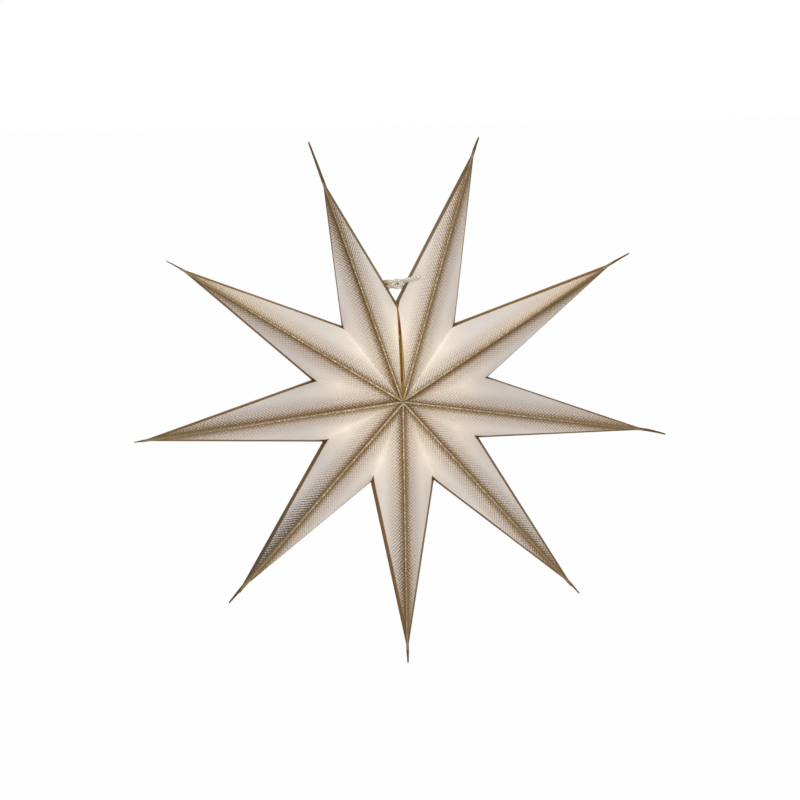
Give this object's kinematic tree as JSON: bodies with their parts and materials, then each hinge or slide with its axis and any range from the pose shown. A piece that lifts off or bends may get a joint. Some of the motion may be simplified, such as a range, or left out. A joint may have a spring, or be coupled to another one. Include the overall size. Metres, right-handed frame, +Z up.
{
  "type": "paper star lantern",
  "caption": "Folding paper star pendant with hollow points printed in gold, tied at one open seam and hung on a small lampholder with its bulb inside.",
  "frame": {"origin": "mouth of the cord inlet on the lampholder cap, the point that the lamp hangs from", "axes": "+Z up along the cord, the star's front faces -Y, +X to the right seen from the front"},
  "size_m": [0.5924, 0.1644, 0.5848],
  "materials": {
    "paper": "matt, off-white with a gold print",
    "card": "matt",
    "cotton": "twisted cotton cord",
    "holder_brass": "satin",
    "contact_brass": "plain",
    "block": "matt",
    "bulb_glass": "clear",
    "bulb_metal": "satin",
    "insulator": "gloss",
    "filament": "glowing"
  },
  "bodies": {
    "lampholder_and_bottom_point": {"holder_cap": "holder_brass", "holder_shell": "holder_brass", "contact_block": "block", "screw_shell": "contact_brass", "centre_contact": "contact_brass", "point_5_left_leaf": "paper", "point_5_right_leaf": "paper"},
    "point_9": {"point_9_left_leaf": "paper", "point_9_right_leaf": "paper"},
    "point_8": {"point_8_left_leaf": "paper", "point_8_right_leaf": "paper"},
    "point_7": {"point_7_left_leaf": "paper", "point_7_right_leaf": "paper"},
    "point_6": {"point_6_left_leaf": "paper", "point_6_right_leaf": "paper"},
    "point_4": {"point_4_left_leaf": "paper", "point_4_right_leaf": "paper"},
    "point_3": {"point_3_left_leaf": "paper", "point_3_right_leaf": "paper"},
    "point_2": {"point_2_left_leaf": "paper", "point_2_right_leaf": "paper"},
    "point_1": {"point_1_left_leaf": "paper", "point_1_right_leaf": "paper"},
    "seam_edge_left": {"seam_card_left": "card"},
    "seam_edge_right": {"seam_card_right": "card"},
    "tie": {"tie_knot": "cotton", "tie_cord_left": "cotton", "tie_cord_right": "cotton", "tie_tail_left": "cotton", "tie_tail_right": "cotton"},
    "bulb": {"bulb_glass": "bulb_glass", "bulb_cap": "bulb_metal", "bulb_insulator": "insulator", "bulb_tip": "bulb_metal", "bulb_stem": "bulb_glass", "bulb_filament": "filament"}
  },
  "joints": [
    {"name": "fan_fold", "type": "hinge", "parent": "lampholder_and_bottom_point", "child": "point_9", "pos_m": [0, 0, -0.07503], "axis": [0, -1, 0], "range_deg": [0, 151.6], "deforming": ["point_1_left_leaf", "point_1_right_leaf", "point_2_left_leaf", "point_2_right_leaf", "point_3_left_leaf", "point_3_right_leaf", "point_4_left_leaf", "point_4_right_leaf", "point_5_left_leaf", "point_5_right_leaf", "point_6_left_leaf", "point_6_right_leaf", "point_7_left_leaf", "point_7_right_leaf", "point_8_left_leaf", "point_8_right_leaf", "point_9_left_leaf", "point_9_right_leaf"]},
    {"name": "point_8_fold", "type": "hinge", "parent": "lampholder_and_bottom_point", "child": "point_8", "pos_m": [0, 0, -0.07503], "axis": [0, -1, 0], "range_deg": [0, 113.71]},
    {"name": "point_7_fold", "type": "hinge", "parent": "lampholder_and_bottom_point", "child": "point_7", "pos_m": [0, 0, -0.07503], "axis": [0, -1, 0], "range_deg": [0, 75.81]},
    {"name": "point_6_fold", "type": "hinge", "parent": "lampholder_and_bottom_point", "child": "point_6", "pos_m": [0, 0, -0.07503], "axis": [0, -1, 0], "range_deg": [0, 37.91]},
    {"name": "point_4_fold", "type": "hinge", "parent": "lampholder_and_bottom_point", "child": "point_4", "pos_m": [0, 0, -0.07503], "axis": [0, 1, 0], "range_deg": [0, 37.91]},
    {"name": "point_3_fold", "type": "hinge", "parent": "lampholder_and_bottom_point", "child": "point_3", "pos_m": [0, 0, -0.07503], "axis": [0, 1, 0], "range_deg": [0, 75.81]},
    {"name": "point_2_fold", "type": "hinge", "parent": "lampholder_and_bottom_point", "child": "point_2", "pos_m": [0, 0, -0.07503], "axis": [0, 1, 0], "range_deg": [0, 113.71]},
    {"name": "point_1_fold", "type": "hinge", "parent": "lampholder_and_bottom_point", "child": "point_1", "pos_m": [0, 0, -0.07503], "axis": [0, 1, 0], "range_deg": [0, 151.61]},
    {"name": "seam_left_fold", "type": "hinge", "parent": "lampholder_and_bottom_point", "child": "seam_edge_left", "pos_m": [0, 0, -0.07503], "axis": [0, -1, 0], "range_deg": [0, 168.76]},
    {"name": "seam_right_fold", "type": "hinge", "parent": "lampholder_and_bottom_point", "child": "seam_edge_right", "pos_m": [0, 0, -0.07503], "axis": [0, 1, 0], "range_deg": [0, 168.76]},
    {"name": "tie_fold", "type": "hinge", "parent": "lampholder_and_bottom_point", "child": "tie", "pos_m": [0, 0, -0.07503], "axis": [0, -1, 0], "range_deg": [0, 164.44]},
    {"name": "bulb_turn", "type": "hinge", "parent": "lampholder_and_bottom_point", "child": "bulb", "pos_m": [0, 0, -0.045], "axis": [0, 0, -1], "range_deg": [0, 720]}
  ],
  "couplings": [
    {"joint": "point_8_fold", "follows": "fan_fold", "ratio": 0.75},
    {"joint": "point_7_fold", "follows": "fan_fold", "ratio": 0.5},
    {"joint": "point_6_fold", "follows": "fan_fold", "ratio": 0.25},
    {"joint": "point_4_fold", "follows": "fan_fold", "ratio": 0.25},
    {"joint": "point_3_fold", "follows": "fan_fold", "ratio": 0.5},
    {"joint": "point_2_fold", "follows": "fan_fold", "ratio": 0.75},
    {"joint": "point_1_fold", "follows": "fan_fold", "ratio": 1},
    {"joint": "seam_left_fold", "follows": "fan_fold", "ratio": 1.1131},
    {"joint": "seam_right_fold", "follows": "fan_fold", "ratio": 1.1131},
    {"joint": "tie_fold", "follows": "fan_fold", "ratio": 1.0846}
  ]
}
